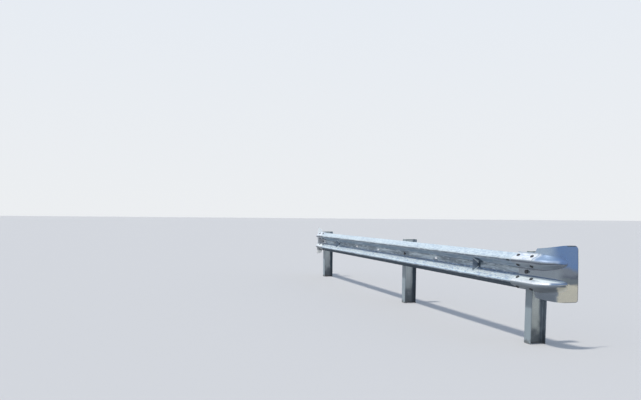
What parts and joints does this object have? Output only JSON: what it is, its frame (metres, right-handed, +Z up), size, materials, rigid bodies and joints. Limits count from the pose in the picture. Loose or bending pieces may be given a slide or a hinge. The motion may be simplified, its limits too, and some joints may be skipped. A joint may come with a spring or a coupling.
{
  "type": "highway guardrail section",
  "caption": "Corrugated steel guardrail beam bolted straight onto driven I-section posts, with flared end sections, the near one curling back, and small trapezoid plates in its valley.",
  "frame": {"origin": "middle of the middle post's foot, at ground level", "axes": "+X along the beam towards the near end, -Y towards the traffic, +Z up"},
  "size_m": [7.5421, 0.3619, 0.87],
  "materials": {
    "post_steel": "galvanised, weathered",
    "rail_steel": "galvanised, weathered",
    "end_steel": "galvanised, weathered",
    "fitting_steel": "galvanised, dark"
  },
  "bodies": {
    "root": {"near_post": "post_steel", "middle_post": "post_steel", "far_post": "post_steel", "rail_beam": "rail_steel", "near_end_section": "end_steel", "far_end_section": "end_steel", "near_valley_plate": "fitting_steel", "far_valley_plate": "fitting_steel"}
  },
  "joints": []
}
